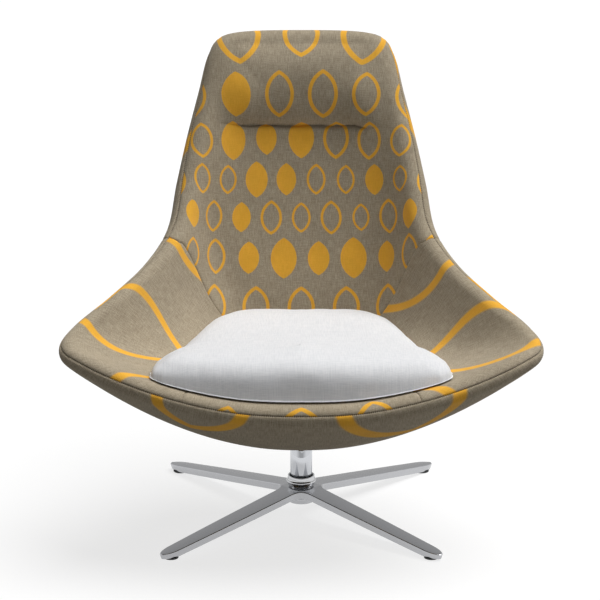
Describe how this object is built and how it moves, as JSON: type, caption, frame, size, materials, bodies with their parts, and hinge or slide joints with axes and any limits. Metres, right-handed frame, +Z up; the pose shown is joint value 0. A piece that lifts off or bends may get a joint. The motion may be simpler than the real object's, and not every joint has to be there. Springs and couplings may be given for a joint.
{
  "type": "pedestal swivel armchair",
  "caption": "Low upholstered swivel armchair: a wide shell seat with rolled rim and headrest, a loose seat cushion, a chrome column and a flat star base in polished aluminium.",
  "frame": {"origin": "on the floor, on the swivel axis, which is at the middle of the chair's width and depth", "axes": "+Z up along the swivel axis, the seat faces -Y, +X is to the right as seen from the front"},
  "size_m": [0.9236, 0.8048, 0.9101],
  "materials": {
    "polished_aluminium": "polished",
    "chrome_tube": "polished",
    "zinc_steel": "satin",
    "black_steel": "satin",
    "black_plastic": "matte",
    "bearing_plastic": "satin",
    "shell_plastic": "matte",
    "plywood": "matte",
    "foam": "matte",
    "print_cloth": "matte",
    "deck_cloth": "matte",
    "cushion_cloth": "matte"
  },
  "bodies": {
    "base": {"star_base": "polished_aluminium", "glide_front_left": "black_plastic", "glide_front_right": "black_plastic", "glide_rear_left": "black_plastic", "glide_rear_right": "black_plastic", "glide_screws": "zinc_steel", "spindle": "zinc_steel", "hub_washer": "zinc_steel", "hub_nut": "zinc_steel", "hub_cap": "black_plastic", "base_collar": "polished_aluminium", "thrust_washer": "bearing_plastic", "retaining_washer": "zinc_steel", "retaining_screw": "zinc_steel"},
    "seat": {"column_tube": "chrome_tube", "lower_bush": "bearing_plastic", "upper_bush": "bearing_plastic", "top_plate": "black_steel", "plate_bolts": "black_steel", "t_nuts": "zinc_steel", "seat_board": "plywood", "shell_moulding": "shell_plastic", "seat_foam": "foam", "front_lip_foam": "foam", "arm_foam_left": "foam", "arm_foam_right": "foam", "back_foam": "foam", "headrest_foam": "foam", "rim_roll": "foam", "outer_foam": "foam", "outer_cover": "print_cloth", "seat_deck_panel": "deck_cloth", "front_lip_panel": "print_cloth", "arm_panel_left": "print_cloth", "arm_panel_right": "print_cloth", "back_panel": "print_cloth", "headrest_panel": "print_cloth"},
    "cushion": {"cushion_core": "foam", "cushion_top_cover": "cushion_cloth", "cushion_base_cover": "cushion_cloth"}
  },
  "joints": [
    {"name": "swivel", "type": "hinge", "parent": "base", "child": "seat", "pos_m": [0, 0, 0.12], "axis": [0, 0, 1], "continuous": true},
    {"name": "cushion_lift", "type": "slide", "parent": "seat", "child": "cushion", "axis": [0, 0, 1], "range_m": [0, 0.12]}
  ]
}
